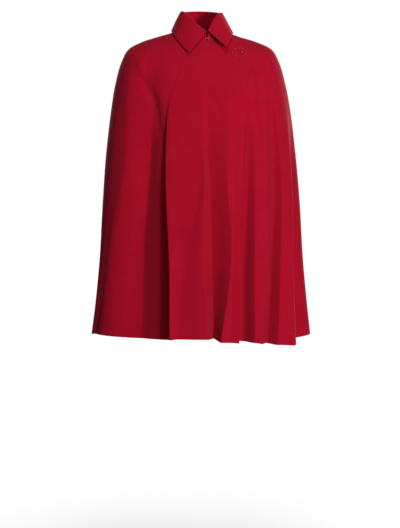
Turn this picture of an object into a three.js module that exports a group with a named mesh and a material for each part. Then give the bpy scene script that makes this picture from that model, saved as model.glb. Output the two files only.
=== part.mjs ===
// Wool cape with a pointed collar and an overlap fastened at the wearer's left collarbone.
// Millimetres. X runs to the wearer's left, -Y is the front and +Z is up.
// The origin is in the middle of the neck opening, level with the top of the shoulders.
import * as THREE from 'three';

const WOOL = 2.4; // thickness of the felted wool
const GAP = 0.3; // air between two pieces that are sewn together
const LAYER_AIR = 1.4; // air between the overlap and the front under it
const STAND_WALL = 3.0; // collar stand, two layers pressed together
const FALL_WALL = 3.6; // collar fall, two layers pressed together
const ROLL = 2.2; // inside radius where the collar turns over
const SQUARENESS = 0.9; // plan of a ring: 1 is an ellipse, less is squarer
const OVERLAP_CORNER = { turn: 67, level: 0.114 }; // upper free corner of the overlap
const CLOSURE_TURN = 11.5; // where the collar ends meet, degrees from the front middle

// Rings of the body. level: 0 at the neckline, 1 at the hem.
// side, fore, aft: height at the sides, front and back. right, left, front, back: reach each way.
const RINGS = [
  { level: 0, side: 18, fore: -20, aft: 26, right: 62, left: 60, front: 64, back: 56 },
  { level: 0.04, side: 9, fore: -46, aft: 6, right: 92, left: 80, front: 76, back: 78 },
  { level: 0.085, side: -1, fore: -76, aft: -22, right: 127, left: 108, front: 87, back: 94 },
  { level: 0.135, side: -14, fore: -106, aft: -52, right: 167, left: 151, front: 98, back: 107 },
  { level: 0.185, side: -35, fore: -138, aft: -88, right: 205, left: 194, front: 109, back: 117 },
  { level: 0.23, side: -67, fore: -170, aft: -125, right: 223, left: 213, front: 118, back: 125 },
  { level: 0.3, side: -134, fore: -226, aft: -190, right: 242, left: 233, front: 130, back: 135 },
  { level: 0.37, side: -202, fore: -284, aft: -262, right: 253, left: 246, front: 138, back: 143 },
  { level: 0.48, side: -320, fore: -384, aft: -375, right: 267, left: 260, front: 146, back: 153 },
  { level: 0.61, side: -454, fore: -502, aft: -498, right: 276, left: 271, front: 152, back: 164 },
  { level: 0.78, side: -622, fore: -646, aft: -648, right: 284, left: 280, front: 158, back: 176 },
  { level: 0.92, side: -762, fore: -768, aft: -772, right: 297, left: 293, front: 162, back: 186 },
  { level: 1, side: -832, fore: -830, aft: -838, right: 306, left: 301, front: 165, back: 191 },
];

// Seams, free edges and fold lines. turn: degrees round from the front middle at TURN_LEVELS.
// out: how far the line stands out at the hem. drop: extra length at the hem. from: level where the
// fold starts. sharp: 1 for a crease, 0 for a round fold. steps: columns of the wall up to the next line.
const TURN_LEVELS = [0, 0.12, 0.2, 0.3, 0.5, 0.7, 1];
const RIGHT_SIDE_SEAM =
  { turn: [-84, -80, -74, -68, -75, -80, -86], out: 6, drop: -3, from: 0.3, sharp: 0.6, steps: 4 };
const RIGHT_FRONT_SEAM =
  { turn: [-32, -20, -19, -20, -18.9, -16.5, -14.4], out: 10, drop: -5, from: 0.2, sharp: 1, steps: 2 };
const OVERLAP_EDGE =
  { turn: [84, 66, 37, 29, 22, 19.6, 17.2], out: 8, drop: 4, from: 0.35, sharp: 1, steps: 1 };
const UNDERLAP_EDGE =
  { turn: [11.5, 5.5, 3.8, 3.3, 2.9, 2.6, 2.4], out: -36, drop: -4, from: 0.1, sharp: 1, steps: 3 };
const LEFT_FRONT_SEAM =
  { turn: [32, 22, 19.5, 20.5, 19, 17, 14.8], out: -30, drop: 0, from: 0.14, sharp: 0, steps: 3 };
const LEFT_SIDE_SEAM =
  { turn: [92, 92, 92, 92, 92, 92, 92], out: 6, drop: 0, from: 0.35, sharp: 0.3, steps: 4 };
const RIGHT_SIDE_FOLDS = [
  { turn: [-66, -64, -61, -57, -52, -66, -80], out: -6, drop: -5, from: 0.25, sharp: 0.2, steps: 3 },
  { turn: [-46, -42, -38, -33.5, -33.5, -38, -36.5], out: -64, drop: 2, from: 0.11, sharp: 0.4, steps: 5 },
  { turn: [-35, -24, -22.4, -22.6, -21.4, -18.4, -16], out: -34, drop: 0, from: 0.17, sharp: 0.1, steps: 4 },
];
const OVERLAP_FOLDS = [
  { turn: [-18, -8, -5, -3, -1, -7, -10.5], out: -3, drop: -6, from: 0.3, sharp: 0.1, steps: 3 },
  { turn: [-6, -1, 0, 0.4, 0.9, 0.6, 2.4], out: 8, drop: -7, from: 0.3, sharp: 0.3, steps: 3 },
  { turn: [5, 4, 3.2, 2.4, 3.4, 4.3, 4.9], out: -30, drop: -5, from: 0.15, sharp: 0.6, steps: 3 },
  { turn: [22, 18, 17, 16, 13.4, 14.4, 7.8], out: 18, drop: 0, from: 0.25, sharp: 0.8, steps: 3 },
  { turn: [40, 30, 26, 24, 17.6, 15.2, 12], out: 6, drop: 2, from: 0.3, sharp: 0, steps: 5 },
];
const UNDERLAP_FOLDS = [
  { turn: [22, 14, 12, 12, 11, 10, 8.6], out: -42, drop: -3, from: 0.1, sharp: 0, steps: 3 },
];
const LEFT_SIDE_FOLDS = [
  { turn: [46, 42, 38, 31.5, 26, 23.2, 20.2], out: -34, drop: 4, from: 0.3, sharp: 0.2, steps: 4 },
  { turn: [56, 50, 44, 36.5, 31.3, 29.4, 26.4], out: 4, drop: 5, from: 0.25, sharp: 0.1, steps: 3 },
  { turn: [64, 60, 54, 46, 40, 38, 31], out: 6, drop: 8, from: 0.25, sharp: 0.3, steps: 3 },
  { turn: [70, 66, 60, 53.6, 50, 45.5, 36.5], out: -28, drop: 11, from: 0.2, sharp: 0.8, steps: 2 },
  { turn: [73, 69.5, 64, 57.2, 53.6, 49.2, 40.5], out: 10, drop: 12, from: 0.25, sharp: 0.2, steps: 4 },
  { turn: [79, 78, 76, 73, 67, 61.5, 54.5], out: 16, drop: 16, from: 0.3, sharp: 0.6, steps: 3 },
  { turn: [85, 85, 84, 83, 80, 76, 72], out: -34, drop: 6, from: 0.35, sharp: 0.1, steps: 4 },
];
const BACK_FOLDS = [
  { turn: [110, 110, 110, 110, 110, 109, 108], out: -20, drop: 0, from: 0.35, sharp: 0, steps: 4 },
  { turn: [126, 126, 126, 126, 126, 125, 124], out: 10, drop: 0, from: 0.3, sharp: 0.1, steps: 4 },
  { turn: [141, 141, 141, 141, 141, 141, 140], out: -20, drop: 0, from: 0.4, sharp: 0, steps: 4 },
  { turn: [156, 156, 156, 156, 156, 156, 155], out: 9, drop: 0, from: 0.35, sharp: 0, steps: 4 },
  { turn: [170, 170, 170, 170, 170, 170, 169], out: -16, drop: 0, from: 0.45, sharp: 0, steps: 4 },
  { turn: [184, 184, 184, 184, 184, 184, 185], out: 8, drop: 0, from: 0.4, sharp: 0, steps: 4 },
  { turn: [198, 198, 198, 198, 198, 199, 200], out: -19, drop: 0, from: 0.35, sharp: 0, steps: 4 },
  { turn: [214, 214, 214, 214, 214, 215, 216], out: 10, drop: 0, from: 0.3, sharp: 0.1, steps: 4 },
  { turn: [231, 231, 231, 231, 231, 232, 233], out: -22, drop: 0, from: 0.4, sharp: 0, steps: 4 },
  { turn: [250, 250, 252, 252, 250, 250, 250], out: -8, drop: 0, from: 0.35, sharp: 0, steps: 4 },
];
const ROW_LEVELS = [0, 0.03, 0.065, 0.1, 0.135, 0.165, 0.195, 0.235, 0.3, 0.4, 0.52, 0.66, 0.83, 1];

// Sections round the collar from the left front end to the right front end.
// turn: place on the neckline. rise, lean: top of the stand above and inside it.
// part: how far the top has spread along the neckline, so that the ends open in a V.
// edgeTurn, edgeLevel, lift: where the edge of the fall lies over the body and how far off it stands.
const COLLAR = [
  { turn: 11.8, rise: 31, lean: 1, part: 3, edgeTurn: 38, edgeLevel: 0.072, lift: 19, swell: 1 },
  { turn: 30, rise: 41, lean: 11, part: 0, edgeTurn: 47, edgeLevel: 0.062, lift: 11, swell: 0 },
  { turn: 60, rise: 47, lean: 13, part: 0, edgeTurn: 68, edgeLevel: 0.05, lift: 4, swell: 0 },
  { turn: 90, rise: 43, lean: 9, part: 0, edgeTurn: 92, edgeLevel: 0.042, lift: 3, swell: 1 },
  { turn: 135, rise: 41, lean: 4, part: 0, edgeTurn: 136, edgeLevel: 0.034, lift: 3, swell: 4 },
  { turn: 180, rise: 41, lean: 2, part: 0, edgeTurn: 180, edgeLevel: 0.034, lift: 3, swell: 4 },
  { turn: 225, rise: 43, lean: 4, part: 0, edgeTurn: 224, edgeLevel: 0.03, lift: 3, swell: 4 },
  { turn: 270, rise: 46, lean: 8, part: 0, edgeTurn: 270, edgeLevel: 0.026, lift: 3, swell: 2 },
  { turn: 300, rise: 50, lean: 10, part: 0, edgeTurn: 300, edgeLevel: 0.03, lift: 3, swell: 0 },
  { turn: 330, rise: 52, lean: 13, part: 0, edgeTurn: 323, edgeLevel: 0.036, lift: 3, swell: 0 },
  { turn: 350, rise: 44, lean: 9, part: 0, edgeTurn: 335, edgeLevel: 0.0445, lift: 5, swell: 0 },
  { turn: 371.2, rise: 30, lean: 4, part: -3, edgeTurn: 342.6, edgeLevel: 0.051, lift: 8, swell: 0 },
];
const STAND_ROWS = [1, 0.6, 0.28, 0.1, 0];
const FALL_ROWS = 5;
const COLLAR_COLUMNS = 34;

// Neck hook and eye: wire of one radius, on the outside of the stand at the closure.
// across: towards the wearer's left, away: off the stand, up: along the closure.
const WIRE = 0.5;
const EYE = { across: 4.2, away: 0.9, ring: 2.4 };
const HOOK = [
  { across: -2.8, away: 3.4, up: -1.6 },
  { across: -5.6, away: 3.2, up: -1.7 },
  { across: -6.8, away: 3.1, up: 0 },
  { across: -5.4, away: 3.2, up: 1.6 },
  { across: -2.6, away: 3.4, up: 0.8 },
  { across: 0.4, away: 3.3, up: 0 },
  { across: 2.4, away: 2.9, up: 0 },
  { across: 3.9, away: 2.2, up: 0 },
  { across: 4.3, away: 0.8, up: 0 },
];

// Frog at the corner of the overlap: one covered cord laid round a knot, by turn and level.
const FROG_CORD = 1.2;
const KNOT = { turn: 50.3, level: 0.12, radius: 3.4, flat: 0.75 };
const FROG = [
  { turn: 46.2, level: 0.108 },
  { turn: 41.2, level: 0.111 },
  { turn: 42.4, level: 0.095 },
  { turn: 49.3, level: 0.093 },
  { turn: 55, level: 0.107 },
  { turn: 55, level: 0.123 },
  { turn: 49.8, level: 0.134 },
  { turn: 44.7, level: 0.131 },
  { turn: 41, level: 0.134 },
];

const RED = 0x9b0d25;
const STEEL = 0xb9b9bd;

// Smooth curve through a table, with the slope at each row worked out from its neighbours.
function smooth(xs, ys, x) {
  const last = xs.length - 1;
  const at = Math.min(Math.max(x, xs[0]), xs[last]);
  let i = 0;
  while (i < last - 1 && at > xs[i + 1]) i += 1;
  const slope = (k) => (ys[k + 1] - ys[k]) / (xs[k + 1] - xs[k]);
  const tangent = (k) => {
    if (k === 0) return slope(0);
    if (k === last) return slope(last - 1);
    const before = xs[k] - xs[k - 1];
    const after = xs[k + 1] - xs[k];
    return (slope(k - 1) * after + slope(k) * before) / (before + after);
  };
  const h = xs[i + 1] - xs[i];
  const t = (at - xs[i]) / h;
  const t2 = t * t;
  const t3 = t2 * t;
  const value = (2 * t3 - 3 * t2 + 1) * ys[i] + (3 * t2 - 2 * t3) * ys[i + 1];
  return value + (t3 - 2 * t2 + t) * h * tangent(i) + (t3 - t2) * h * tangent(i + 1);
}

function column(table, key, by, x) {
  return smooth(table.map((row) => row[by]), table.map((row) => row[key]), x);
}

// The lines that one layer of cloth follows all the way round, in order of their turn.
function layer(lines, shift) {
  return lines.map((line) => ({ ...line, turn: line.turn.map((turn) => turn + shift) }));
}

const UPPER = [
  ...layer(LEFT_SIDE_FOLDS.slice(5), -360), ...layer([LEFT_SIDE_SEAM, ...BACK_FOLDS], -360),
  RIGHT_SIDE_SEAM, ...RIGHT_SIDE_FOLDS, RIGHT_FRONT_SEAM, ...OVERLAP_FOLDS, OVERLAP_EDGE,
];
const LOWER = [
  UNDERLAP_EDGE, ...UNDERLAP_FOLDS, LEFT_FRONT_SEAM, ...LEFT_SIDE_FOLDS, LEFT_SIDE_SEAM, ...BACK_FOLDS,
];

function turnAt(line, level) {
  return smooth(TURN_LEVELS, line.turn, level);
}

// How much of a fold has opened at a level.
function opened(from, level) {
  const u = Math.min(Math.max((level - from) / (1 - from), 0), 1);
  return (Math.sin((u * Math.PI) / 2) * 1.05 * u) / (u + 0.05);
}

// Stand-out and drop of the cloth of one layer at a place.
function foldAt(lines, turn, level) {
  const turns = lines.map((line) => turnAt(line, level));
  const outs = lines.map((line) => line.out * opened(line.from, level));
  const drops = lines.map((line) => line.drop * opened(0.4, level));
  let k = 0;
  while (k < lines.length - 2 && turn > turns[k + 1]) k += 1;
  const u = Math.min(Math.max((turn - turns[k]) / (turns[k + 1] - turns[k]), 0), 1);
  const start = lines[k].sharp;
  const end = lines[k + 1].sharp;
  const w = (u ** 3 - 2 * u * u + u) * start + (3 * u * u - 2 * u ** 3) + (u ** 3 - u * u) * end;
  return { out: outs[k] + (outs[k + 1] - outs[k]) * w, drop: drops[k] + (drops[k + 1] - drops[k]) * w };
}

function power(value) {
  return Math.sign(value) * Math.abs(value) ** SQUARENESS;
}

// Ring of the body without folds.
function ringPoint(turn, level) {
  const angle = THREE.MathUtils.degToRad(turn);
  const s = Math.sin(angle);
  const c = Math.cos(angle);
  const reach = column(RINGS, s > 0 ? 'left' : 'right', 'level', level);
  const depth = column(RINGS, c > 0 ? 'front' : 'back', 'level', level);
  const end = column(RINGS, c > 0 ? 'fore' : 'aft', 'level', level);
  const z = column(RINGS, 'side', 'level', level) * s * s + end * c * c;
  return new THREE.Vector3(reach * power(s), -depth * power(c), z);
}

function outward(before, after) {
  const along = after.clone().sub(before);
  return new THREE.Vector3(along.y, -along.x, 0).normalize();
}

function surfacePoint(lines, turn, level) {
  const out = outward(ringPoint(turn - 0.1, level), ringPoint(turn + 0.1, level));
  const fold = foldAt(lines, turn, level);
  const point = ringPoint(turn, level).addScaledVector(out, fold.out);
  point.z -= fold.drop;
  return point;
}

function surfaceNormal(lines, turn, level) {
  const up = Math.max(level - 0.004, 0);
  const down = Math.min(level + 0.004, 1);
  const round = surfacePoint(lines, turn + 0.6, level).sub(surfacePoint(lines, turn - 0.6, level));
  const fall = surfacePoint(lines, turn, down).sub(surfacePoint(lines, turn, up));
  return fall.cross(round).normalize();
}

// The left front and side lie one layer deeper, fading out at the left side seam.
function depthUnder(turn) {
  return (WOOL + LAYER_AIR) * Math.min(Math.max((90 - turn) / 15, 0), 1);
}

function clothPoint(lines, turn, level, depth) {
  const normal = surfaceNormal(lines, turn, level);
  return surfacePoint(lines, turn, level).addScaledVector(normal, -depth);
}

// Closed wall between a grid of points on the show side and one on the wrong side.
function wallGeometry(show, wrong) {
  const columns = show.length;
  const rows = show[0].length;
  const points = [...show, ...wrong].flat().flatMap((point) => point.toArray());
  const front = (i, j) => i * rows + j;
  const rear = (i, j) => columns * rows + i * rows + j;
  const faces = [];
  const quad = (a, b, c, d) => faces.push(a, b, c, a, c, d);
  for (let i = 0; i < columns - 1; i += 1) {
    for (let j = 0; j < rows - 1; j += 1) {
      quad(front(i, j), front(i, j + 1), front(i + 1, j + 1), front(i + 1, j));
      quad(rear(i, j), rear(i + 1, j), rear(i + 1, j + 1), rear(i, j + 1));
    }
    quad(front(i, 0), front(i + 1, 0), rear(i + 1, 0), rear(i, 0));
    quad(front(i, rows - 1), rear(i, rows - 1), rear(i + 1, rows - 1), front(i + 1, rows - 1));
  }
  for (let j = 0; j < rows - 1; j += 1) {
    quad(front(0, j), rear(0, j), rear(0, j + 1), front(0, j + 1));
    const last = columns - 1;
    quad(front(last, j), front(last, j + 1), rear(last, j + 1), rear(last, j));
  }
  const geometry = new THREE.BufferGeometry();
  geometry.setAttribute('position', new THREE.Float32BufferAttribute(points, 3));
  geometry.setIndex(faces);
  geometry.computeVertexNormals();
  return geometry;
}

function meshOf(name, geometry, colour, metalness) {
  const roughness = metalness > 0 ? 0.35 : 0.95;
  const material = new THREE.MeshStandardMaterial({ color: colour, roughness, metalness });
  const mesh = new THREE.Mesh(geometry, material);
  mesh.name = name;
  return mesh;
}

// Turn of each column of a panel at a level, with half the seam gap taken off at both ends.
function panelTurns(edges, level) {
  const turns = [];
  for (let k = 0; k < edges.length - 1; k += 1) {
    const a = turnAt(edges[k], level);
    const b = turnAt(edges[k + 1], level);
    for (let s = 0; s < edges[k].steps; s += 1) {
      turns.push(a + ((b - a) * s) / edges[k].steps);
    }
  }
  turns.push(turnAt(edges[edges.length - 1], level));
  const last = turns.length - 1;
  const degree = (turn) => ringPoint(turn, level).distanceTo(ringPoint(turn + 1, level));
  turns[0] += GAP / 2 / degree(turns[0]);
  turns[last] -= GAP / 2 / degree(turns[last]);
  return turns;
}

// One panel: its edge lines and folds, the layer it belongs to, its depth under that layer
// and the level at which each column starts.
function panelGeometry(edges, lines, depth, top) {
  const columns = panelTurns(edges, 0).length;
  const show = [];
  const wrong = [];
  for (let i = 0; i < columns; i += 1) {
    const start = top(panelTurns(edges, OVERLAP_CORNER.level)[i]);
    const levels = ROW_LEVELS.map((level) => start + (1 - start) * level);
    show.push(levels.map((level) => {
      const turn = panelTurns(edges, level)[i];
      return clothPoint(lines, turn, level, depth(turn));
    }));
    wrong.push(levels.map((level) => {
      const turn = panelTurns(edges, level)[i];
      return clothPoint(lines, turn, level, depth(turn) + WOOL);
    }));
  }
  return wallGeometry(show, wrong);
}

// The overlap leaves the neckline at the closure and runs level to its free corner.
function overlapTop(turn) {
  const share = (turn - CLOSURE_TURN) / (OVERLAP_CORNER.turn - CLOSURE_TURN);
  return OVERLAP_CORNER.level * Math.min(Math.max(share, 0), 1) ** 1.4;
}

function bodyPanels() {
  const flush = () => 0;
  const neckline = () => 0;
  const back = [LEFT_SIDE_SEAM, ...BACK_FOLDS];
  const backEdges = [...layer(back, -360), RIGHT_SIDE_SEAM];
  const rightEdges = [RIGHT_SIDE_SEAM, ...RIGHT_SIDE_FOLDS, RIGHT_FRONT_SEAM];
  const overlapEdges = [RIGHT_FRONT_SEAM, ...OVERLAP_FOLDS, OVERLAP_EDGE];
  const underEdges = [UNDERLAP_EDGE, ...UNDERLAP_FOLDS, LEFT_FRONT_SEAM];
  const leftEdges = [LEFT_FRONT_SEAM, ...LEFT_SIDE_FOLDS, LEFT_SIDE_SEAM];
  return [
    meshOf('back_panel', panelGeometry(backEdges, UPPER, flush, neckline), RED, 0),
    meshOf('right_side_panel', panelGeometry(rightEdges, UPPER, flush, neckline), RED, 0),
    meshOf('front_overlap_panel', panelGeometry(overlapEdges, UPPER, flush, overlapTop), RED, 0),
    meshOf('left_front_panel', panelGeometry(underEdges, LOWER, depthUnder, neckline), RED, 0),
    meshOf('left_side_panel', panelGeometry(leftEdges, LOWER, depthUnder, neckline), RED, 0),
  ];
}

// Neckline of whichever layer the collar is sewn to, with the way the cloth runs up into it.
function necklineAt(turn) {
  const wrapped = turn > 180 ? turn - 360 : turn;
  const lines = turn > 180 ? UPPER : LOWER;
  const depth = turn > 180 ? 0 : depthUnder(wrapped);
  const point = clothPoint(lines, wrapped, 0, depth);
  const below = clothPoint(lines, wrapped, 0.01, depth);
  return { point, up: point.clone().sub(below).normalize() };
}

function collarAt(share) {
  const turns = COLLAR.map((row) => row.turn);
  const turn = turns[0] + (turns[turns.length - 1] - turns[0]) * share;
  const of = (key) => column(COLLAR, key, 'turn', turn);
  const { point, up } = necklineAt(turn);
  const sides = [necklineAt(turn - 1).point, necklineAt(turn + 1).point];
  const out = outward(sides[0], sides[1]);
  const base = point.clone().addScaledVector(up, GAP);
  const top = point.clone().addScaledVector(out, -of('lean'));
  top.add(new THREE.Vector3(-out.y, out.x, 0).multiplyScalar(of('part')));
  top.z += of('rise');
  const edgeTurn = of('edgeTurn');
  const turned = edgeTurn > 180 ? edgeTurn - 360 : edgeTurn;
  const edge = clothPoint(UPPER, Math.min(turned, OVERLAP_CORNER.turn), of('edgeLevel'), -of('lift'));
  if (turned > OVERLAP_CORNER.turn) edge.copy(clothPoint(LOWER, turned, of('edgeLevel'), -of('lift')));
  return { base, up, out, top, edge, swell: of('swell') };
}

function bezier(points, t) {
  let line = points;
  while (line.length > 1) line = line.slice(1).map((p, k) => line[k].clone().lerp(p, t));
  return line[0];
}

// Outside of the stand, from the neckline at 0 to the top at 1.
function standPoint(section, share) {
  const turnIn = section.base.clone().addScaledVector(section.up, 6);
  return bezier([section.base, turnIn, section.top], share);
}

// Underside of the fall: up from the stand, over the roll and down to the edge.
function fallLine(section) {
  const { top, out, edge, swell } = section;
  const rise = (point, up) => point.clone().add(new THREE.Vector3(0, 0, up));
  const moved = (point, up, away) => rise(point, up).addScaledVector(out, away);
  const start = moved(top, GAP, 0);
  const bulge = 1.33 * ROLL;
  const turned = moved(start, 0, 2 * ROLL);
  const roll = [start, moved(start, bulge, 0), moved(start, bulge, 2 * ROLL), turned];
  const middle = turned.clone().lerp(edge, 0.45).addScaledVector(out, swell);
  const leaf = [turned, middle, edge];
  const line = [0, 0.25, 0.5, 0.75].map((t) => bezier(roll, t));
  for (let j = 0; j <= FALL_ROWS; j += 1) line.push(bezier(leaf, j / FALL_ROWS));
  return line;
}

// Direction of the show side at each point of a grid, from its neighbours.
function gridNormals(grid) {
  const within = (k, list) => list[Math.min(Math.max(k, 0), list.length - 1)];
  const pick = (i, j) => within(j, within(i, grid));
  return grid.map((line, i) => line.map((point, j) => {
    const round = pick(i + 1, j).clone().sub(pick(i - 1, j));
    const fall = pick(i, j + 1).clone().sub(pick(i, j - 1));
    return fall.cross(round).normalize();
  }));
}

function movedOut(grid, normals, distance) {
  const away = (point, normal) => point.clone().addScaledVector(normal, distance);
  return grid.map((line, i) => line.map((point, j) => away(point, normals[i][j])));
}

function collarPieces() {
  const sections = [];
  for (let i = 0; i <= COLLAR_COLUMNS; i += 1) sections.push(collarAt(i / COLLAR_COLUMNS));
  const stand = sections.map((section) => STAND_ROWS.map((share) => standPoint(section, share)));
  const fall = sections.map(fallLine);
  const standWrong = movedOut(stand, gridNormals(stand), -STAND_WALL);
  const fallShow = movedOut(fall, gridNormals(fall), FALL_WALL);
  return [
    meshOf('collar_stand', wallGeometry(stand, standWrong), RED, 0),
    meshOf('collar_fall', wallGeometry(fallShow, fall), RED, 0),
  ];
}

// Closed cord of round section through a line of points.
function cordGeometry(points, radius, sides, steps) {
  const curve = new THREE.CatmullRomCurve3(points, false, 'centripetal');
  const frames = curve.computeFrenetFrames(steps, false);
  const rings = [];
  for (let i = 0; i <= steps; i += 1) {
    const centre = curve.getPointAt(i / steps);
    const ring = [];
    for (let k = 0; k < sides; k += 1) {
      const angle = (2 * Math.PI * k) / sides;
      const side = frames.normals[i].clone().multiplyScalar(Math.cos(angle) * radius);
      side.addScaledVector(frames.binormals[i], Math.sin(angle) * radius);
      ring.push(centre.clone().add(side));
    }
    rings.push(ring);
  }
  const vertices = [...rings.flat(), curve.getPointAt(0), curve.getPointAt(1)];
  const faces = [];
  const at = (i, k) => i * sides + (k % sides);
  const tip = rings.length * sides;
  for (let k = 0; k < sides; k += 1) {
    for (let i = 0; i < steps; i += 1) {
      faces.push(at(i, k), at(i + 1, k + 1), at(i + 1, k), at(i, k), at(i, k + 1), at(i + 1, k + 1));
    }
    faces.push(tip, at(0, k + 1), at(0, k), tip + 1, at(steps, k), at(steps, k + 1));
  }
  const geometry = new THREE.BufferGeometry();
  const coordinates = vertices.flatMap((point) => point.toArray());
  geometry.setAttribute('position', new THREE.Float32BufferAttribute(coordinates, 3));
  geometry.setIndex(faces);
  return geometry;
}

// Point on the outside of the stand at the closure, with the directions across, away and up.
function closureFrame() {
  const section = collarAt(0);
  const middle = standPoint(section, 0.62);
  const across = new THREE.Vector3(0, 0, 1).cross(section.out).normalize();
  const up = section.top.clone().sub(section.base).normalize();
  return { middle, across, up, away: across.clone().cross(up).normalize() };
}

function neckHardware() {
  const { middle, across, up, away } = closureFrame();
  const place = (row) => {
    const point = middle.clone().addScaledVector(across, row.across);
    return point.addScaledVector(up, row.up).addScaledVector(away, row.away);
  };
  const ring = new THREE.TorusGeometry(EYE.ring, WIRE, 6, 16);
  ring.applyMatrix4(new THREE.Matrix4().makeBasis(across, up, away));
  ring.translate(...place({ ...EYE, up: 0 }).toArray());
  return [
    meshOf('neck_hook', cordGeometry(HOOK.map(place), WIRE, 6, 26), STEEL, 1),
    meshOf('neck_eye', ring, STEEL, 1),
  ];
}

function frogPieces() {
  const on = (row, height) => clothPoint(UPPER, row.turn, row.level, -height - 2 * GAP);
  const normal = surfaceNormal(UPPER, KNOT.turn, KNOT.level);
  const knot = new THREE.SphereGeometry(KNOT.radius, 12, 8);
  knot.scale(1, KNOT.flat, 1);
  knot.applyQuaternion(new THREE.Quaternion().setFromUnitVectors(new THREE.Vector3(0, 1, 0), normal));
  knot.translate(...on(KNOT, KNOT.radius * KNOT.flat).toArray());
  return [
    meshOf('frog_loop', cordGeometry(FROG.map((row) => on(row, FROG_CORD)), FROG_CORD, 8, 36), RED, 0),
    meshOf('frog_knot', knot, RED, 0),
  ];
}

const cape = new THREE.Group();
cape.name = 'wool_cape';
cape.add(...bodyPanels(), ...collarPieces(), ...neckHardware(), ...frogPieces());

export default cape;
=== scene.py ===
# Wool cape with a pointed collar: the look of every piece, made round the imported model.
# Metres. X runs to the wearer's left, -Y is the front, +Z is up.
# The origin is in the middle of the neck opening, level with the tops of the shoulders.
import math

import bpy
import numpy as np
from mathutils import Matrix, Vector


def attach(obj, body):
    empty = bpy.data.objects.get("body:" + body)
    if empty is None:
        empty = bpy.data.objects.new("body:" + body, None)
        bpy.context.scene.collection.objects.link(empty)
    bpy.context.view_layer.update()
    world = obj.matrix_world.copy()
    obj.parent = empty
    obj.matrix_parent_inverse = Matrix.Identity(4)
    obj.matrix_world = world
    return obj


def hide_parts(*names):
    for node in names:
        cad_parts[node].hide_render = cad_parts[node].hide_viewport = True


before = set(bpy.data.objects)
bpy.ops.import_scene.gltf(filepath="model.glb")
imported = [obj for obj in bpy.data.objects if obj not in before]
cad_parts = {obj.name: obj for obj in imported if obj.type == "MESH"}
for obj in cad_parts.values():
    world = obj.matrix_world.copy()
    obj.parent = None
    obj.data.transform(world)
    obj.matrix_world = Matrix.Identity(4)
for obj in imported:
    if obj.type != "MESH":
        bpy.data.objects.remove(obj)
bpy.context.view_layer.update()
bpy.ops.object.select_all(action="DESELECT")

# Back panel. One wide flared piece of felted wool, cut with the shoulders in it and sewn to the
# front at both side seams. It hangs from the neckline and falls in long soft folds.
WOOL = 0.0024
SEAM_GAP = 0.0003
CLOTH_STEP = 0.0048
ROUND_EDGE = 0.0009
SQUARENESS = 0.9
CLOTH_LENGTH = 0.86
OVERLAP_TURN = 67
OVERLAP_LEVEL = 0.114
FOLD_START = 0.05
DROP_START = 0.4
CREASE_FADE = 0.3
TURN_STEP, LEVEL_STEP = 0.6, 0.004
RING_COLUMNS = ("level", "side", "fore", "aft", "right", "left", "front", "back")
RINGS = (
    (0.000, 0.018, -0.020, 0.026, 0.062, 0.060, 0.064, 0.056),
    (0.040, 0.009, -0.046, 0.006, 0.092, 0.080, 0.076, 0.078),
    (0.085, -0.001, -0.076, -0.022, 0.127, 0.108, 0.087, 0.094),
    (0.135, -0.014, -0.106, -0.052, 0.167, 0.151, 0.098, 0.107),
    (0.185, -0.035, -0.138, -0.088, 0.205, 0.194, 0.109, 0.117),
    (0.230, -0.067, -0.170, -0.125, 0.223, 0.213, 0.118, 0.125),
    (0.300, -0.134, -0.226, -0.190, 0.242, 0.233, 0.130, 0.135),
    (0.370, -0.202, -0.284, -0.262, 0.253, 0.246, 0.138, 0.143),
    (0.480, -0.320, -0.384, -0.375, 0.267, 0.260, 0.146, 0.153),
    (0.610, -0.454, -0.502, -0.498, 0.276, 0.271, 0.152, 0.164),
    (0.780, -0.622, -0.646, -0.648, 0.284, 0.280, 0.158, 0.176),
    (0.920, -0.762, -0.768, -0.772, 0.297, 0.293, 0.162, 0.186),
    (1.000, -0.832, -0.830, -0.838, 0.306, 0.301, 0.165, 0.191),
)
TURN_LEVELS = (0, 0.12, 0.2, 0.3, 0.5, 0.7, 1)


def line(turn, out=0.0, drop=0.0, start=0.35, sharp=0.0):
    """A seam, edge or fold line. turn: degrees round from the front middle at TURN_LEVELS. out and
    drop: how far it stands out and hangs lower at the hem. start: the level where it begins.
    sharp: 1 is a crease, 0 a round fold."""
    return {"turn": np.array(turn, float), "out": out, "drop": drop, "start": start, "sharp": sharp}


LEFT_SIDE_SEAM = line((92, 92, 92, 92, 92, 92, 92), 0.006, 0, 0.35, 0.3)
RIGHT_SIDE_SEAM = line((-84, -80, -74, -68, -75, -80, -86), 0.006, -0.003, 0.3, 0.6)
BACK_FOLDS = [
    line((110, 110, 110, 110, 110, 109, 108), -0.020, 0, 0.35),
    line((126, 126, 126, 126, 126, 125, 124), 0.010, 0, 0.3, 0.1),
    line((141, 141, 141, 141, 141, 141, 140), -0.020, 0, 0.4),
    line((156, 156, 156, 156, 156, 156, 155), 0.009, 0, 0.35),
    line((170, 170, 170, 170, 170, 170, 169), -0.016, 0, 0.45),
    line((184, 184, 184, 184, 184, 184, 185), 0.008, 0, 0.4),
    line((198, 198, 198, 198, 198, 199, 200), -0.019, 0, 0.35),
    line((214, 214, 214, 214, 214, 215, 216), 0.010, 0, 0.3, 0.1),
    line((231, 231, 231, 231, 231, 232, 233), -0.022, 0, 0.4),
    line((250, 250, 252, 252, 250, 250, 250), -0.008, 0, 0.35),
]


def turned(lines, degrees):
    return [dict(one, turn=one["turn"] + degrees) for one in lines]


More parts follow.
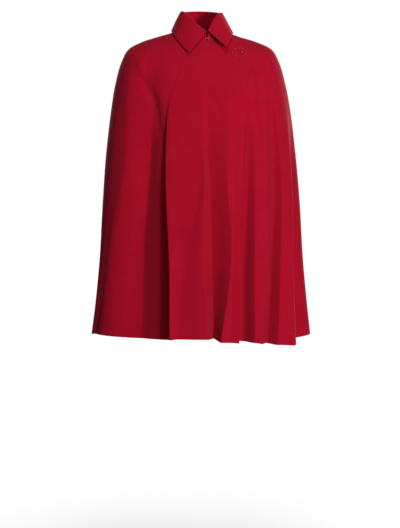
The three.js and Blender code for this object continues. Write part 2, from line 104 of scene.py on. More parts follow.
def smooth(xs, ys, x):
    """Smooth curve through a short table, with the slope at each row taken from its neighbours."""
    xs, ys = np.asarray(xs, float), np.asarray(ys, float)
    x = np.clip(x, xs[0], xs[-1])
    gaps = np.diff(xs)
    slopes = np.diff(ys) / gaps
    tangents = np.concatenate([slopes[:1], ys[1:-1], slopes[-1:]])
    tangents[1:-1] = (slopes[:-1] * gaps[1:] + slopes[1:] * gaps[:-1]) / (xs[2:] - xs[:-2])
    i = np.clip(np.searchsorted(xs, x, side="left") - 1, 0, len(xs) - 2)
    h = gaps[i]
    t = (x - xs[i]) / h
    value = (2 * t**3 - 3 * t**2 + 1) * ys[i] + (3 * t**2 - 2 * t**3) * ys[i + 1]
    return value + (t**3 - 2 * t**2 + t) * h * tangents[i] + (t**3 - t**2) * h * tangents[i + 1]


def ring_size(name, level):
    return smooth([row[0] for row in RINGS], [row[RING_COLUMNS.index(name)] for row in RINGS], level)


def ring(turn, level):
    """Point of the cape's body without its folds."""
    s, c = np.sin(np.radians(turn)), np.cos(np.radians(turn))
    reach = np.where(s > 0, ring_size("left", level), ring_size("right", level))
    depth = np.where(c > 0, ring_size("front", level), ring_size("back", level))
    end = np.where(c > 0, ring_size("fore", level), ring_size("aft", level))
    x = reach * np.sign(s) * np.abs(s) ** SQUARENESS
    y = -depth * np.sign(c) * np.abs(c) ** SQUARENESS
    return np.stack([x, y, ring_size("side", level) * s * s + end * c * c], -1)


def opened(start, level):
    """How much of a fold has opened at a level, softly at first."""
    u = np.clip((level - start) / (1 - start), 0, 1)
    return np.sin(u * np.pi / 2) * (1 + FOLD_START) * u / (u + FOLD_START)


def turn_at(one, level):
    return smooth(TURN_LEVELS, one["turn"], level)


def folds(lines, turn, level):
    """How far the cloth stands out and how much lower it hangs at a place."""
    turns = [turn_at(one, level) for one in lines]
    outs = [one["out"] * opened(one["start"], level) for one in lines]
    drops = [one["drop"] * opened(DROP_START, level) for one in lines]
    out, drop = np.zeros_like(turn), np.zeros_like(turn)
    for k in range(len(lines) - 1):
        here = np.ones(turn.shape, bool)
        if k > 0:
            here &= turn > turns[k]
        if k < len(lines) - 2:
            here &= turn <= turns[k + 1]
        u = np.clip((turn - turns[k]) / (turns[k + 1] - turns[k]), 0, 1)
        w = (u**3 - 2 * u * u + u) * lines[k]["sharp"] + 3 * u * u - 2 * u**3
        w = w + (u**3 - u * u) * lines[k + 1]["sharp"]
        out = np.where(here, outs[k] + (outs[k + 1] - outs[k]) * w, out)
        drop = np.where(here, drops[k] + (drops[k + 1] - drops[k]) * w, drop)
    return out, drop


def unit(vectors):
    return vectors / np.linalg.norm(vectors, axis=-1, keepdims=True)


def draped(lines, turn, level):
    """Point of the outside of the cloth, folds and all."""
    turn, level = np.broadcast_arrays(np.asarray(turn, float), np.asarray(level, float))
    along = ring(turn + 0.1, level) - ring(turn - 0.1, level)
    away = unit(np.stack([along[..., 1], -along[..., 0], np.zeros_like(turn)], -1))
    out, drop = folds(lines, turn, level)
    point = ring(turn, level) + away * out[..., None]
    point[..., 2] -= drop
    return point


def cloth_normal(lines, turn, level):
    """Which way the outside of the cloth faces."""
    up, down = np.maximum(level - LEVEL_STEP, 0), np.minimum(level + LEVEL_STEP, 1)
    around = draped(lines, turn + TURN_STEP, level) - draped(lines, turn - TURN_STEP, level)
    fall = draped(lines, turn, down) - draped(lines, turn, up)
    return unit(np.cross(fall, around))


def degree_width(turn, level):
    """How wide one degree of turn is on the cape's body."""
    return np.linalg.norm(ring(turn + 0.5, level) - ring(turn - 0.5, level), axis=-1)


def creased(creases, turn, level):
    """Height of the small creases. Each has a path of turns and levels, a height and a width."""
    degree = degree_width(turn, level)
    total = np.zeros_like(turn)
    for crease in creases:
        path = np.array(crease["path"], float)
        parts = len(path) - 1
        nearest = np.full(turn.shape, np.inf)
        place = np.zeros(turn.shape)
        for k in range(parts):
            ax, ay = (path[k, 0] - turn) * degree, (path[k, 1] - level) * CLOTH_LENGTH
            bx, by = (path[k + 1, 0] - turn) * degree, (path[k + 1, 1] - level) * CLOTH_LENGTH
            dx, dy = bx - ax, by - ay
            t = np.clip(-(ax * dx + ay * dy) / (dx * dx + dy * dy), 0, 1)
            gap = np.hypot(ax + t * dx, ay + t * dy)
            place = np.where(gap < nearest, (k + t) / parts, place)
            nearest = np.minimum(nearest, gap)
        fade = np.clip(np.minimum(place, 1 - place) / CREASE_FADE, 0, 1)
        fade = fade * fade * (3 - 2 * fade)
        total += crease["high"] * fade * np.exp(-((nearest / crease["wide"]) ** 2))
    return total


def columns_between(edges):
    """Columns of the grid from each line to the next, close enough together for the cloth."""
    hem = [draped(edges, np.array(turn_at(one, 1.0)), np.array(1.0)) for one in edges]
    widths = [np.linalg.norm(b - a) for a, b in zip(hem, hem[1:])]
    return [max(3, math.ceil(1.1 * width / CLOTH_STEP)) for width in widths]


def turn_between(edges, share, level):
    """Turn of a column that lies a share of the way from one line to the next."""
    k, s = share
    return turn_at(edges[k], level) + (turn_at(edges[k + 1], level) - turn_at(edges[k], level)) * s


def panel_grid(edges, creases, depth=np.zeros_like, top=np.zeros_like):
    """Points of one panel, a column for each turn and a row for each level. depth says how far the
    panel lies under the outer layer, and top the level where it begins, both by turn."""
    counts = columns_between(edges)
    shares = [(k, s / count) for k, count in enumerate(counts) for s in range(count)]
    shares.append((len(edges) - 2, 1.0))
    rows = math.ceil(CLOTH_LENGTH / CLOTH_STEP)
    start = top(np.array([turn_between(edges, share, OVERLAP_LEVEL) for share in shares]))
    level = start[:, None] + (1 - start[:, None]) * np.linspace(0, 1, rows + 1)
    turn = np.stack([turn_between(edges, share, row) for share, row in zip(shares, level)])
    for i, way in ((0, 1), (-1, -1)):
        turn[i] += way * SEAM_GAP / 2 / degree_width(turn[i], level[i])
    normal = cloth_normal(edges, turn, level)
    height = creased(creases, turn, level) - depth(turn)
    return draped(edges, turn, level) + normal * height[..., None]


def grid_object(name, points):
    """A grid primitive whose vertices are set out on the points, with the grid's own UV map."""
    columns, rows = points.shape[:2]
    bpy.ops.mesh.primitive_grid_add(x_subdivisions=columns - 1, y_subdivisions=rows - 1, size=1)
    piece = bpy.context.object
    piece.name = piece.data.name = name
    ordered = points[:, ::-1].transpose(1, 0, 2)
    piece.data.vertices.foreach_set("co", ordered.astype(np.float32).ravel())
    piece.data.update()
    return piece


def finish_wall(piece, thickness, rounding, outwards=-1):
    """Gives a sheet its thickness, on the inner side for outwards -1, and rounds its edges."""
    wall = piece.modifiers.new("thickness", "SOLIDIFY")
    wall.thickness = thickness
    wall.offset = outwards
    edge = piece.modifiers.new("rounded_edges", "BEVEL")
    edge.width = rounding
    edge.segments = 2
    edge.limit_method = "ANGLE"
    edge.angle_limit = math.radians(60)
    for modifier in ("thickness", "rounded_edges"):
        bpy.ops.object.modifier_apply(modifier=modifier)
    bpy.ops.object.shade_smooth_by_angle(angle=math.radians(50))


class Shade:
    """A socket of a finish that is reckoned with like a number."""

    def __init__(self, tree, socket=None):
        self.tree = tree
        self.socket = socket

    def node(self, kind, settings, sockets, out=0):
        made = self.tree.nodes.new("ShaderNode" + kind)
        for name, value in settings.items():
            if name == "stops":
                for k, (place, colour) in enumerate(value):
                    stop = made.color_ramp.elements[k] if k < 2 else made.color_ramp.elements.new(place)
                    stop.position = place
                    stop.color = colour
            else:
                setattr(made, name, value)
        for name, value in sockets.items():
            if isinstance(value, Shade):
                self.tree.links.new(value.socket, made.inputs[name])
            else:
                made.inputs[name].default_value = value
        return Shade(self.tree, made.outputs[out])

    def reckon(self, operation, a, b):
        return self.node("Math", {"operation": operation}, {0: a, 1: b})

    def __add__(self, other):
        return self.reckon("ADD", self, other)

    def __mul__(self, other):
        return self.reckon("MULTIPLY", self, other)

    __radd__ = __add__
    __rmul__ = __mul__


def finish(name, settings):
    """A new material: the constant sockets of its shader, its tree and its shader node."""
    material = bpy.data.materials.new(name)
    material.use_nodes = True
    shader = material.node_tree.nodes["Principled BSDF"]
    for socket, value in settings.items():
        shader.inputs[socket].default_value = value
    return material, Shade(material.node_tree), shader


WOOL_LIGHT = (0.43, 0.0042, 0.0225, 1)
WOOL_DEEP = (0.37, 0.0030, 0.0180, 1)


def felted_wool(name, light, deep):
    """Felted wool: cloudy colour, short fibres that lie down the cloth, and a soft nap."""
    material, start, shader = finish(name, {
        "Sheen Weight": 0.08,
        "Sheen Roughness": 0.5,
        "Sheen Tint": (1.0, 0.4, 0.46, 1),
        "Specular IOR Level": 0.05,
    })
    place = start.node("TexCoord", {}, {}, out=3)
    lying = start.node("Mapping", {}, {"Vector": place, "Scale": (1, 1, 0.3)})
    cloud = start.node("TexNoise", {}, {"Vector": place, "Scale": 14, "Detail": 3})
    felt = start.node("TexNoise", {}, {"Vector": place, "Scale": 210, "Detail": 4, "Roughness": 0.6})
    fibre = start.node("TexNoise", {}, {"Vector": lying, "Scale": 1500, "Detail": 5, "Roughness": 0.65})
    shade = 0.35 * cloud + 0.35 * felt + 0.3 * fibre
    tone = start.node("ValToRGB", {"stops": [(0.36, deep), (0.64, light)]}, {"Fac": shade})
    start.tree.links.new(tone.socket, shader.inputs["Base Color"])
    rough = 0.86 + 0.12 * fibre
    start.tree.links.new(rough.socket, shader.inputs["Roughness"])
    height = 0.6 * fibre + 0.4 * felt
    bump = start.node("Bump", {}, {"Strength": 0.5, "Distance": 0.0006, "Height": height})
    start.tree.links.new(bump.socket, shader.inputs["Normal"])
    return material


def dress(piece, material):
    piece.data.materials.clear()
    piece.data.materials.append(material)


wool = felted_wool("felted_wool", WOOL_LIGHT, WOOL_DEEP)
BACK_CREASES = (
    {"path": ((132, 0.10), (137, 0.20), (140, 0.32)), "high": -0.0022, "wide": 0.014},
    {"path": ((226, 0.11), (222, 0.20), (220, 0.30)), "high": -0.0022, "wide": 0.014},
    {"path": ((150, 0.52), (151, 0.70), (150, 0.9)), "high": 0.0018, "wide": 0.009},
    {"path": ((208, 0.46), (206, 0.62), (206, 0.8)), "high": 0.0018, "wide": 0.010},
    {"path": ((176, 0.14), (180, 0.22), (178, 0.34)), "high": -0.0014, "wide": 0.018},
)
back_edges = [LEFT_SIDE_SEAM, *BACK_FOLDS, *turned([RIGHT_SIDE_SEAM], 360)]
back = grid_object("back_cloth", panel_grid(back_edges, BACK_CREASES))
finish_wall(back, WOOL, ROUND_EDGE)
dress(back, wool)
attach(back, "root")
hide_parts("back_panel")

# Right side panel. The wearer's right front from the side seam to the seam that runs down from the
# collar, felted wool. Its turnings are pressed to one side, so that its front edge shows as a line.
RIGHT_FRONT_SEAM = line((-32, -20, -19, -20, -18.9, -16.5, -14.4), 0.010, -0.005, 0.2, 1)
RIGHT_SIDE_FOLDS = [
    line((-66, -64, -61, -57, -52, -66, -80), -0.006, -0.005, 0.25, 0.2),
    line((-46, -42, -38, -33.5, -33.5, -38, -36.5), -0.064, 0.002, 0.11, 0.4),
    line((-35, -24, -22.4, -22.6, -21.4, -18.4, -16), -0.034, 0, 0.17, 0.1),
]
RIGHT_SIDE_CREASES = (
    {"path": ((-50, 0.20), (-45, 0.23), (-37.5, 0.25), (-33, 0.27), (-28.4, 0.31), (-26, 0.37),
              (-24, 0.45)), "high": -0.005, "wide": 0.016},
    {"path": ((-58, 0.16), (-52, 0.20), (-42, 0.225)), "high": 0.003, "wide": 0.012},
)
right_edges = [RIGHT_SIDE_SEAM, *RIGHT_SIDE_FOLDS, RIGHT_FRONT_SEAM]
right_side = grid_object("right_side_cloth", panel_grid(right_edges, RIGHT_SIDE_CREASES))
finish_wall(right_side, WOOL, ROUND_EDGE)
dress(right_side, wool)
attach(right_side, "root")
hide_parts("right_side_panel")

# Overlapping front panel. Felted wool between the right front seam and a free edge down the
# wearer's left front, with a level top edge from the collar to the corner that the frog holds.
OVERLAP_EDGE = line((84, 66, 37, 29, 22, 19.6, 17.2), 0.008, 0.004, 0.35, 1)
OVERLAP_FOLDS = [
    line((-18, -8, -5, -3, -1, -7, -10.5), -0.003, -0.006, 0.3, 0.1),
    line((-6, -1, 0, 0.4, 0.9, 0.6, 2.4), 0.008, -0.007, 0.3, 0.3),
    line((5, 4, 3.2, 2.4, 3.4, 4.3, 4.9), -0.030, -0.005, 0.15, 0.6),
    line((22, 18, 17, 16, 13.4, 14.4, 7.8), 0.018, 0, 0.25, 0.8),
    line((40, 30, 26, 24, 17.6, 15.2, 12), 0.006, 0.002, 0.3),
]
CLOSURE_TURN = 11.5
TOP_EDGE_BEND = 1.4


def overlap_top(turn):
    """The overlap leaves the neckline at the closure and runs level to its free corner."""
    share = np.clip((turn - CLOSURE_TURN) / (OVERLAP_TURN - CLOSURE_TURN), 0, 1)
    return OVERLAP_LEVEL * share**TOP_EDGE_BEND


OVERLAP_CREASES = (
    {"path": ((4, 0.20), (9, 0.25), (12, 0.33)), "high": -0.002, "wide": 0.010},
)
overlap_edges = [RIGHT_FRONT_SEAM, *OVERLAP_FOLDS, OVERLAP_EDGE]
overlap = grid_object("overlap_cloth", panel_grid(overlap_edges, OVERLAP_CREASES, top=overlap_top))
finish_wall(overlap, WOOL, ROUND_EDGE)
dress(overlap, wool)
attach(overlap, "root")
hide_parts("front_overlap_panel")

# Left front panel. The narrow piece of felted wool under the overlap, from its own hidden free
# edge near the front middle to the left front seam. It hangs one layer deeper than the overlap.
LAYER_AIR = 0.0014
FADE_FROM, FADE_TO = 75, 90
UNDERLAP_EDGE = line((11.5, 5.5, 3.8, 3.3, 2.9, 2.6, 2.4), -0.036, -0.004, 0.1, 1)
LEFT_FRONT_SEAM = line((32, 22, 19.5, 20.5, 19, 17, 14.8), -0.030, 0, 0.14)
UNDERLAP_FOLDS = [line((22, 14, 12, 12, 11, 10, 8.6), -0.042, -0.003, 0.1)]


def one_layer_down(turn):
    """The left front and side lie one layer deeper, fading out at the left side seam."""
    return (WOOL + LAYER_AIR) * np.clip((FADE_TO - turn) / (FADE_TO - FADE_FROM), 0, 1)


under_edges = [UNDERLAP_EDGE, *UNDERLAP_FOLDS, LEFT_FRONT_SEAM]
left_front = grid_object("left_front_cloth", panel_grid(under_edges, (), depth=one_layer_down))
finish_wall(left_front, WOOL, ROUND_EDGE)
dress(left_front, wool)
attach(left_front, "root")
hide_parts("left_front_panel")

# Left side panel. The wearer's left front from the hidden front seam to the left side seam,
# felted wool, with the deepest folds of the cape. The overlap lies on it at the collarbone.
LEFT_SIDE_FOLDS = [
    line((46, 42, 38, 31.5, 26, 23.2, 20.2), -0.034, 0.004, 0.3, 0.2),
    line((56, 50, 44, 36.5, 31.3, 29.4, 26.4), 0.004, 0.005, 0.25, 0.1),
    line((64, 60, 54, 46, 40, 38, 31), 0.006, 0.008, 0.25, 0.3),
    line((70, 66, 60, 53.6, 50, 45.5, 36.5), -0.028, 0.011, 0.2, 0.8),
    line((73, 69.5, 64, 57.2, 53.6, 49.2, 40.5), 0.010, 0.012, 0.25, 0.2),
    line((79, 78, 76, 73, 67, 61.5, 54.5), 0.016, 0.016, 0.3, 0.6),
    line((85, 85, 84, 83, 80, 76, 72), -0.034, 0.006, 0.35, 0.1),
]
LEFT_SIDE_CREASES = (
    {"path": ((45, 0.14), (43, 0.19), (39, 0.25), (36, 0.31), (36.5, 0.40), (35, 0.50)),
     "high": -0.0045, "wide": 0.009},
    {"path": ((62, 0.12), (58, 0.2), (54, 0.3)), "high": -0.0025, "wide": 0.009},
)
left_edges = [LEFT_FRONT_SEAM, *LEFT_SIDE_FOLDS, LEFT_SIDE_SEAM]
left_points = panel_grid(left_edges, LEFT_SIDE_CREASES, depth=one_layer_down)
left_side = grid_object("left_side_cloth", left_points)
finish_wall(left_side, WOOL, ROUND_EDGE)
dress(left_side, wool)
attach(left_side, "root")
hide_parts("left_side_panel")

# Collar stand. A band of two layers of the wool pressed together, sewn round the neckline and
# hooked at the front. Its ends part a little at the top.
STAND_WALL = 0.0030
STAND_EDGE = 0.0012
TURN_IN = 0.006
UPWARDS = np.array((0.0, 0.0, 1.0))
COLLAR_COLUMNS = ("turn", "rise", "lean", "part", "edge_turn", "edge_level", "lift", "swell")
COLLAR = (
    (11.8, 0.031, 0.001, 0.003, 38, 0.072, 0.019, 0.001),
    (30, 0.041, 0.011, 0.000, 47, 0.062, 0.011, 0.000),
    (60, 0.047, 0.013, 0.000, 68, 0.050, 0.004, 0.000),
    (90, 0.043, 0.009, 0.000, 92, 0.042, 0.003, 0.001),
    (135, 0.041, 0.004, 0.000, 136, 0.034, 0.003, 0.004),
    (180, 0.041, 0.002, 0.000, 180, 0.034, 0.003, 0.004),
    (225, 0.043, 0.004, 0.000, 224, 0.030, 0.003, 0.004),
    (270, 0.046, 0.008, 0.000, 270, 0.026, 0.003, 0.002),
    (300, 0.050, 0.010, 0.000, 300, 0.030, 0.003, 0.000),
    (330, 0.052, 0.013, 0.000, 323, 0.036, 0.003, 0.000),
    (350, 0.044, 0.009, 0.000, 335, 0.0445, 0.005, 0.000),
    (371.2, 0.030, 0.004, -0.003, 342.6, 0.051, 0.008, 0.000),
)
COLLAR_STEPS = 170
UPPER = [*turned(LEFT_SIDE_FOLDS[5:], -360), *turned([LEFT_SIDE_SEAM, *BACK_FOLDS], -360),
         RIGHT_SIDE_SEAM, *RIGHT_SIDE_FOLDS, RIGHT_FRONT_SEAM, *OVERLAP_FOLDS, OVERLAP_EDGE]
LOWER = [UNDERLAP_EDGE, *UNDERLAP_FOLDS, LEFT_FRONT_SEAM, *LEFT_SIDE_FOLDS, LEFT_SIDE_SEAM, *BACK_FOLDS]


def on_cloth(lines, turn, level, height):
    """Point at a height above the outside of a layer."""
    turn, level = np.broadcast_arrays(np.asarray(turn, float), np.asarray(level, float))
    normal = cloth_normal(lines, turn, level)
    return draped(lines, turn, level) + normal * np.asarray(height, float)[..., None]


def neckline(turn, level):
    """Point of whichever layer the collar is sewn to."""
    wrapped = np.where(turn > 180, turn - 360, turn)
    upper = on_cloth(UPPER, wrapped, level, np.zeros_like(turn))
    lower = on_cloth(LOWER, wrapped, level, -one_layer_down(wrapped))
    return np.where((turn > 180)[..., None], upper, lower)


def collar_size(name, turn):
    return smooth([row[0] for row in COLLAR], [row[COLLAR_COLUMNS.index(name)] for row in COLLAR], turn)


def curve(points, share):
    """Point of a smooth curve that starts at the first point and ends at the last."""
    while len(points) > 1:
        points = [a + (b - a) * share for a, b in zip(points, points[1:])]
    return points[0]


collar_turn = np.linspace(COLLAR[0][0], COLLAR[-1][0], COLLAR_STEPS + 1)
seam_point = neckline(collar_turn, 0.0)
seam_up = unit(seam_point - neckline(collar_turn, 0.01))
seam_along = unit((neckline(collar_turn + 1, 0.0) - neckline(collar_turn - 1, 0.0)) * (1, 1, 0))
seam_out = np.stack([seam_along[:, 1], -seam_along[:, 0], np.zeros(len(seam_along))], -1)
stand_base = seam_point + seam_up * SEAM_GAP
stand_top = seam_point - seam_out * collar_size("lean", collar_turn)[:, None]
stand_top += seam_along * collar_size("part", collar_turn)[:, None]
stand_top += UPWARDS * collar_size("rise", collar_turn)[:, None]


def stand_point(share):
    """Points of the stand a share of the way up, all the way round."""
    return curve([stand_base, stand_base + seam_up * TURN_IN, stand_top], share)


stand_points = np.stack([stand_point(share) for share in np.linspace(1, 0, 15)], 1)
stand = grid_object("collar_stand_cloth", stand_points)
finish_wall(stand, STAND_WALL, STAND_EDGE)
dress(stand, wool)
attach(stand, "root")
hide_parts("collar_stand")

# Collar fall. Two layers of the wool sewn together, turned out and pressed, so that the edges are
# round and firm. It turns over at the top of the stand and ends in two points at the front.
FALL_WALL = 0.0036
FALL_EDGE = 0.0014
ROLL = 0.0022
ROLL_HEIGHT = 1.33
LEAF_MIDDLE = 0.45
fall_edge_turn = collar_size("edge_turn", collar_turn)
wrapped_turn = np.where(fall_edge_turn > 180, fall_edge_turn - 360, fall_edge_turn)
edge_level = collar_size("edge_level", collar_turn)
edge_lift = collar_size("lift", collar_turn)
upper_edge = on_cloth(UPPER, np.minimum(wrapped_turn, OVERLAP_TURN), edge_level, edge_lift)
lower_edge = on_cloth(LOWER, wrapped_turn, edge_level, edge_lift)
fall_edge = np.where((wrapped_turn > OVERLAP_TURN)[:, None], lower_edge, upper_edge)
roll_start = stand_top + UPWARDS * SEAM_GAP
roll_end = roll_start + seam_out * 2 * ROLL
bulge = UPWARDS * ROLL_HEIGHT * ROLL
leaf_middle = roll_end + (fall_edge - roll_end) * LEAF_MIDDLE
leaf_middle += seam_out * collar_size("swell", collar_turn)[:, None]
fall_rows = [curve([roll_start, roll_start + bulge, roll_end + bulge, roll_end], t)
             for t in np.linspace(0, 1, 9)[:-1]]
fall_rows += [curve([roll_end, leaf_middle, fall_edge], t) for t in np.linspace(0, 1, 17)]
fall = grid_object("collar_fall_cloth", np.stack(fall_rows, 1))
finish_wall(fall, FALL_WALL, FALL_EDGE, outwards=1)
dress(fall, wool)
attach(fall, "root")
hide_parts("collar_fall")

# Neck hook and eye. Small bent steel wire, sewn to the outside of the stand at the closure with
# red thread. The eye is a ring and the hook passes through it. across is towards the wearer's left.
WIRE_RADIUS = 0.0005
EYE_RING = 0.0024
EYE_ACROSS, EYE_AWAY = 0.0042, 0.0009
CLOSURE_HEIGHT = 0.62
# Corners of the hook's wire: across, away and up from the closure.
HOOK = (
    (-0.0028, 0.0034, -0.0016),
    (-0.0056, 0.0032, -0.0017),
    (-0.0068, 0.0031, 0.0000),
    (-0.0054, 0.0032, 0.0016),
    (-0.0026, 0.0034, 0.0008),
    (0.0004, 0.0033, 0.0000),
    (0.0024, 0.0029, 0.0000),
    (0.0039, 0.0022, 0.0000),
    (0.0043, 0.0008, 0.0000),
)
closure = stand_point(CLOSURE_HEIGHT)[0]
closure_across = unit(np.cross(UPWARDS, seam_out[0]))
closure_up = unit(stand_top[0] - stand_base[0])
closure_away = unit(np.cross(closure_across, closure_up))


def at_closure(across, away, up):
    """Point at the closure, measured along the stand, away from it and up it."""
    return closure + closure_across * across + closure_away * away + closure_up * up


def smooth_path(corners, steps):
    """Points of a smooth line through the corners, evenly spaced by corner."""
    corners = np.array(corners, float)
    at = np.arange(len(corners))
    places = np.linspace(0, len(corners) - 1, steps)
    return np.stack([smooth(at, corners[:, k], places) for k in range(3)], -1)


def round_wire(name, runs, radius, closed=False):
    """A round wire or thread along one or more runs of points."""
    bpy.ops.object.select_all(action="DESELECT")
    bpy.ops.curve.primitive_nurbs_path_add()
    piece = bpy.context.object
    piece.name = name
    path = piece.data
    path.splines.clear()
    for points in runs:
        run = path.splines.new("POLY")
        run.points.add(len(points) - 1)
        for place, point in zip(run.points, points):
            place.co = (*point, 1)
        run.use_cyclic_u = closed
    path.bevel_depth = radius
    path.bevel_resolution = 3
    path.use_fill_caps = not closed
    bpy.ops.object.convert(target="MESH")
    bpy.ops.object.shade_smooth()
    return piece


steel, _, _ = finish("bent_steel_wire", {
    "Base Color": (0.20, 0.17, 0.17, 1),
    "Metallic": 1.0,
    "Roughness": 0.5,
})
hook = round_wire("neck_hook_wire", [smooth_path([at_closure(*row) for row in HOOK], 60)], WIRE_RADIUS)
dress(hook, steel)
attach(hook, "root")
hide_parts("neck_hook")
ring_angle = np.linspace(0, 2 * np.pi, 41)[:-1]
eye_points = [at_closure(EYE_ACROSS + EYE_RING * math.cos(a), EYE_AWAY, EYE_RING * math.sin(a))
              for a in ring_angle]
eye = round_wire("neck_eye_wire", [eye_points], WIRE_RADIUS, closed=True)
dress(eye, steel)
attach(eye, "root")
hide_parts("neck_eye")

# Threads of the hook and eye. Three turns of red thread over the loop of the hook and three over
# the far side of the eye hold them to the stand.
THREAD_RADIUS = 0.00022
THREAD_LOOP = 0.0010
# Middle of each turn of thread: across, away and up from the closure.
THREADS = (
    (-0.0066, 0.0030, 0.0006),
    (-0.0068, 0.0030, 0.0),
    (-0.0066, 0.0030, -0.0006),
    (0.0064, EYE_AWAY, 0.0007),
    (0.0066, EYE_AWAY, 0.0),
    (0.0064, EYE_AWAY, -0.0007),
)
thread_paint, _, _ = finish("red_thread", {"Base Color": (0.36, 0.006, 0.026, 1), "Roughness": 0.6})
loops = []
for across, away, up in THREADS:
    loops.append([at_closure(across + THREAD_LOOP * math.cos(a), away + THREAD_LOOP * math.sin(a), up)
                  for a in np.linspace(0, 2 * np.pi, 17)[:-1]])
threads = round_wire("closure_threads", loops, THREAD_RADIUS, closed=True)
dress(threads, thread_paint)
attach(threads, "root")

# Frog loop. Two strands of red cord twisted together and laid round the knot on the corner of the
# overlap, stitched down from below.
FROG_HEIGHT = 0.0018
STRAND_RADIUS = 0.00072
STRAND_SPREAD = 0.00058
TWIST_LENGTH = 0.0058
# Corners of the cord's route over the overlap: turn and level.
FROG = (
    (46.2, 0.108),
    (41.2, 0.111),
    (42.4, 0.095),
    (49.3, 0.093),
    (55.0, 0.107),
    (55.0, 0.123),
    (49.8, 0.134),
    (44.7, 0.131),
    (41.0, 0.134),
)
cord_red, _, _ = finish("twisted_red_cord", {
    "Base Color": (0.46, 0.010, 0.034, 1),
    "Roughness": 0.55,
    "Specular IOR Level": 0.3,
    "Sheen Weight": 0.1,
    "Sheen Tint": (1.0, 0.5, 0.55, 1),
})
frog_rows = smooth_path([(turn, level, 0) for turn, level in FROG], 420)
frog_line = on_cloth(UPPER, frog_rows[:, 0], frog_rows[:, 1], FROG_HEIGHT)
frog_up = cloth_normal(UPPER, frog_rows[:, 0], frog_rows[:, 1])
frog_along = unit(np.gradient(frog_line, axis=0))
frog_side = unit(np.cross(frog_along, frog_up))
frog_length = np.concatenate([[0], np.cumsum(np.linalg.norm(np.diff(frog_line, axis=0), axis=1))])
strands = []
for half_turn in (0, np.pi):
    angle = 2 * np.pi * frog_length / TWIST_LENGTH + half_turn
    offset = frog_side * np.cos(angle)[:, None] + frog_up * np.sin(angle)[:, None]
    strands.append(frog_line + offset * STRAND_SPREAD)
frog = round_wire("frog_loop_cord", strands, STRAND_RADIUS)
dress(frog, cord_red)
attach(frog, "root")
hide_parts("frog_loop")

# Frog knot. A small ball of the same cord, wound over and under itself in three rings and pulled
# tight, that the loop is laid round.
KNOT_TURN, KNOT_LEVEL = 50.3, 0.12
KNOT_RADIUS = 0.0034
KNOT_FLAT = 0.75
KNOT_CORD = 0.0009
KNOT_AIR = 0.0006
KNOT_LEAN = 62
knot_up = Vector(cloth_normal(UPPER, np.array(KNOT_TURN), np.array(KNOT_LEVEL)))
knot_height = KNOT_RADIUS * KNOT_FLAT + KNOT_AIR
knot_place = Vector(on_cloth(UPPER, KNOT_TURN, KNOT_LEVEL, knot_height))
bpy.ops.object.select_all(action="DESELECT")
bpy.ops.mesh.primitive_uv_sphere_add(segments=32, ring_count=16, radius=KNOT_RADIUS - KNOT_CORD)
knot = bpy.context.object
knot.name = "frog_knot_cord"
rings = [knot]
for spin in (0, 60, 120):
    bpy.ops.mesh.primitive_torus_add(
        major_segments=48, minor_segments=12, major_radius=KNOT_RADIUS - KNOT_CORD,
        minor_radius=KNOT_CORD, rotation=(math.radians(KNOT_LEAN), 0, math.radians(spin)))
    rings.append(bpy.context.object)
for ring_piece in rings:
    ring_piece.select_set(True)
bpy.context.view_layer.objects.active = knot
bpy.ops.object.join()
bpy.ops.object.mode_set(mode="EDIT")
bpy.ops.mesh.select_all(action="SELECT")
bpy.ops.transform.resize(value=(1, 1, KNOT_FLAT))
bpy.ops.object.mode_set(mode="OBJECT")
knot.data.transform(knot_up.to_track_quat("Z", "Y").to_matrix().to_4x4())
knot.data.transform(Matrix.Translation(knot_place))
bpy.ops.object.shade_smooth()
dress(knot, cord_red)
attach(knot, "root")
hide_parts("frog_knot")

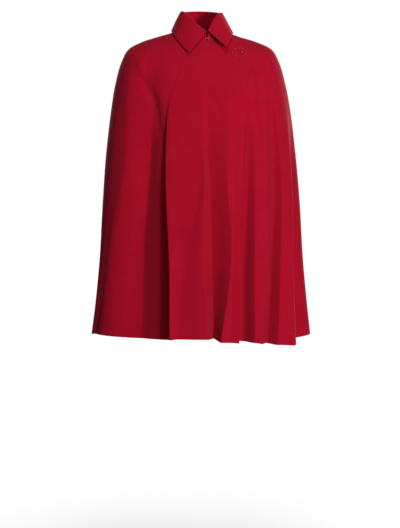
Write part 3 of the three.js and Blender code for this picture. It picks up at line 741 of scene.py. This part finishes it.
# Floor, light and camera. A plain pale floor that fades into a white backdrop, a soft main light
# from the right front, a soft light from high in front for the shadows under the collar, weak light
# from the side, two lights behind, and a camera at chest height that looks a little down.
FLOOR_HEIGHT = -1.52
FLOOR_RADIUS = 1.4
FADE_START, FADE_END = 0.1, 1.1
AIM = Vector((0, 0, -0.45))
AMBIENT = 0.05
bpy.ops.mesh.primitive_circle_add(vertices=96, radius=FLOOR_RADIUS, fill_type="NGON",
                                  location=(0, 0, FLOOR_HEIGHT))
floor = bpy.context.object
floor.name = "studio_floor"
floor_paint, pale, floor_shader = finish("pale_floor", {
    "Base Color": (0.93, 0.93, 0.93, 1),
    "Roughness": 0.9,
    "Specular IOR Level": 0.1,
})
floor_place = pale.node("TexCoord", {}, {}, out=3)
from_middle = pale.node("VectorMath", {"operation": "LENGTH"}, {0: floor_place}, out=1)
fading = pale.node("MapRange", {"interpolation_type": "SMOOTHSTEP"}, {
    "Value": from_middle, "From Min": FADE_START, "From Max": FADE_END, "To Min": 1, "To Max": 0})
pale.tree.links.new(fading.socket, floor_shader.inputs["Alpha"])
dress(floor, floor_paint)

world = bpy.data.worlds.new("studio")
bpy.context.scene.world = world
world.use_nodes = True
sky = Shade(world.node_tree)
camera_ray = sky.node("LightPath", {}, {})
background = world.node_tree.nodes["Background"]
background.inputs["Color"].default_value = (1, 1, 1, 1)
brightness = AMBIENT + (1 - AMBIENT) * camera_ray
world.node_tree.links.new(brightness.socket, background.inputs["Strength"])


def soft_light(name, place, size, power):
    lamp = bpy.data.lights.new(name, "AREA")
    lamp.size = size
    lamp.energy = power
    holder = bpy.data.objects.new(name, lamp)
    holder.location = place
    holder.rotation_euler = (AIM - Vector(place)).to_track_quat("-Z", "Y").to_euler()
    bpy.context.scene.collection.objects.link(holder)


soft_light("main_light", (1.15, -2.35, -0.25), 0.5, 50)
soft_light("top_light", (0.1, -1.4, 1.9), 0.6, 20)
soft_light("side_light", (3.4, -0.4, 0.2), 1.0, 3)
soft_light("right_back_light", (2.3, 3.0, 0.6), 1.2, 130)
soft_light("left_back_light", (-2.0, 3.2, 1.2), 1.6, 80)

PHOTO_HEIGHT = 528
PIXEL = 0.0028
DISTANCE = 4.5
CAMERA_SIDE = -0.0056
CAMERA_HEIGHT = -0.1736
LOOKS_DOWN = 5.83
camera = bpy.data.cameras.new("camera")
camera.sensor_fit = "VERTICAL"
camera.sensor_height = 24
camera.lens = camera.sensor_height * DISTANCE / (PHOTO_HEIGHT * PIXEL)
viewer = bpy.data.objects.new("camera", camera)
viewer.location = (CAMERA_SIDE, -DISTANCE, CAMERA_HEIGHT)
viewer.rotation_euler = (math.radians(90 - LOOKS_DOWN), 0, 0)
bpy.context.scene.collection.objects.link(viewer)
bpy.context.scene.camera = viewer
bpy.context.scene.view_settings.view_transform = "Standard"
